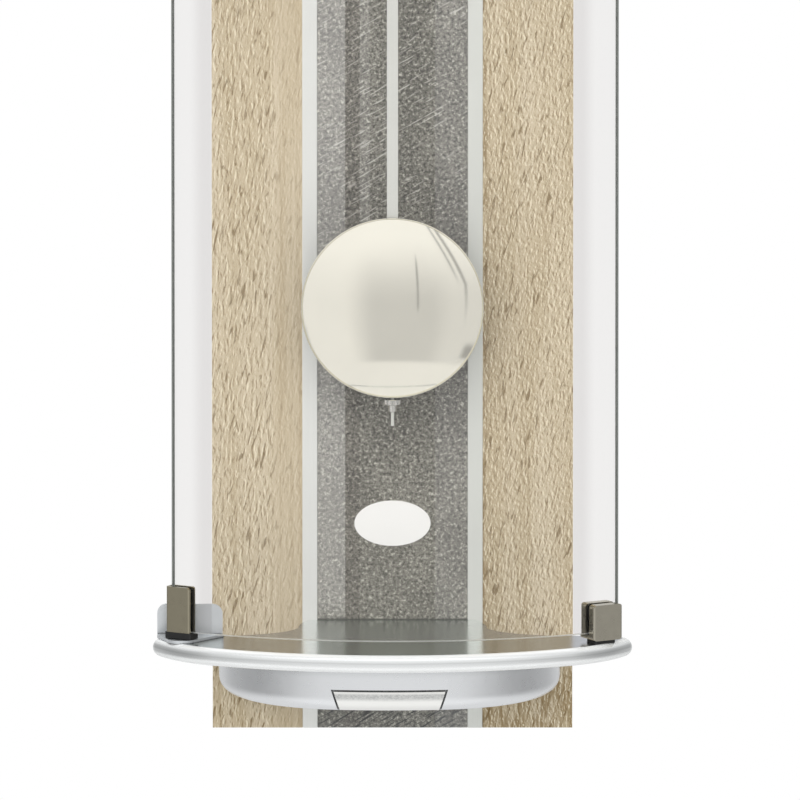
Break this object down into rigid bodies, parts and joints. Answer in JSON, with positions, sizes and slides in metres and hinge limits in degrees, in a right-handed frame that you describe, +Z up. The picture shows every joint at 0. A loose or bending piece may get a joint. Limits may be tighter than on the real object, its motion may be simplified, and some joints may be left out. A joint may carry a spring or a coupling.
{
  "type": "pendulum wall clock",
  "caption": "Pendulum wall clock: oak and slate back board, hinged bent glass front between silver trays, quartz movement with hands, and a domed bob with a rating nut.",
  "frame": {"origin": "middle of the hanger plate's round keyhole entry, on the wall plane", "axes": "+Z up, +Y into the wall along the hook hole, front of the clock towards -Y, +X to the viewer's right"},
  "size_m": [0.239, 0.128, 0.682],
  "materials": {
    "oak": "satin",
    "slate": "matt",
    "trim": "satin",
    "label": "gloss",
    "steel": "zinc plated",
    "silver": "silver paint",
    "silver_hatch": "silver paint",
    "bracket": "satin",
    "clear_glass": "clear, ground edges",
    "nickel": "black nickel plated",
    "lining": "matt",
    "black_plastic": "matt",
    "dial": "brushed",
    "black_paint": "matt",
    "movement": "matt",
    "brass": "bright",
    "gear": "plain",
    "motor": "plain",
    "board_green": "lacquered",
    "coil": "enamelled wire",
    "cell": "plain wrap",
    "contact": "bright",
    "magnet": "plated",
    "rod": "satin",
    "bob_dome": "polished",
    "bob_plate": "plain",
    "nut": "polished"
  },
  "bodies": {
    "case": {"back_board": "oak", "slate_inlay": "slate", "trim_strip_left": "trim", "trim_strip_right": "trim", "label_plate": "label", "hanger_plate": "steel", "hanger_screws": "steel", "base_tray": "silver", "base_bowl": "silver", "base_hatch": "silver_hatch", "top_tray": "silver", "top_bowl": "silver", "tray_screws": "steel", "hinge_bracket_lower": "bracket", "hinge_bracket_upper": "bracket", "hinge_bushes": "black_plastic", "catch_magnets": "black_plastic", "dial_plate": "dial", "hour_markers": "black_paint", "dial_feet": "trim", "dial_foot_screws": "steel", "movement_housing": "movement", "movement_cover": "movement", "cover_screws": "steel", "centre_nut": "brass", "stepper_motor": "motor", "circuit_board": "board_green", "drive_coil": "coil", "battery": "cell", "battery_contacts": "contact", "pivot_pin": "steel", "pivot_clip": "steel"},
    "door": {"glass_pane": "clear_glass", "hinge_clamp_lower": "nickel", "hinge_clamp_upper": "nickel", "catch_clamp_lower": "nickel", "catch_clamp_upper": "nickel", "clamp_linings": "lining", "clamp_screws": "steel", "hinge_shoes": "black_plastic", "hinge_pins": "steel"},
    "pendulum": {"pendulum_lever": "gear", "drive_magnet": "magnet", "pendulum_rod": "rod"},
    "bob": {"bob_front": "bob_dome", "bob_back": "bob_plate", "bob_guide": "black_plastic"},
    "rating_nut_body": {"rating_nut": "nut"},
    "minute_train": {"minute_arbor": "brass", "minute_hand": "black_paint", "hand_nut": "nut"},
    "hour_train": {"hour_wheel": "gear", "hour_hand": "black_paint"},
    "minute_wheel_body": {"minute_wheel": "gear"},
    "motor_rotor": {"motor_pinion": "gear"},
    "setting_train": {"setting_knob": "gear"}
  },
  "joints": [
    {"name": "door_swing", "type": "hinge", "parent": "case", "child": "door", "pos_m": [-0.10519, -0.08262, -0.304], "axis": [0, 0, -1], "range_deg": [0, 100]},
    {"name": "pendulum_swing", "type": "hinge", "parent": "case", "child": "pendulum", "pos_m": [0, -0.0516, -0.108], "axis": [0, 1, 0], "range_deg": [-4, 4]},
    {"name": "bob_slide", "type": "slide", "parent": "pendulum", "child": "bob", "axis": [0, 0, 1], "range_m": [-0.004, 0.004]},
    {"name": "rating_nut_turn", "type": "hinge", "parent": "bob", "child": "rating_nut_body", "pos_m": [0, -0.048, -0.4724], "axis": [0, 0, 1], "range_deg": [-3240, 3240]},
    {"name": "minute_hand_turn", "type": "hinge", "parent": "case", "child": "minute_train", "pos_m": [0, -0.07, -0.122], "axis": [0, 1, 0], "continuous": true},
    {"name": "hour_hand_turn", "type": "hinge", "parent": "case", "child": "hour_train", "pos_m": [0, -0.07, -0.122], "axis": [0, 1, 0], "continuous": true},
    {"name": "minute_wheel_turn", "type": "hinge", "parent": "case", "child": "minute_wheel_body", "pos_m": [-0.015, -0.07, -0.122], "axis": [0, 1, 0], "continuous": true},
    {"name": "motor_turn", "type": "hinge", "parent": "case", "child": "motor_rotor", "pos_m": [0.0174, -0.067, -0.122], "axis": [0, 1, 0], "continuous": true},
    {"name": "setting_knob_turn", "type": "hinge", "parent": "case", "child": "setting_train", "pos_m": [-0.0225, -0.06, -0.10901], "axis": [0, 1, 0], "continuous": true}
  ],
  "couplings": [
    {"joint": "rating_nut_turn", "follows": "bob_slide", "rad_per_m": 12566},
    {"joint": "hour_hand_turn", "follows": "minute_hand_turn", "ratio": 0.083333},
    {"joint": "minute_wheel_turn", "follows": "minute_hand_turn", "ratio": -0.33333},
    {"joint": "motor_turn", "follows": "minute_hand_turn", "ratio": -4.8},
    {"joint": "setting_knob_turn", "follows": "minute_hand_turn", "ratio": 1}
  ]
}
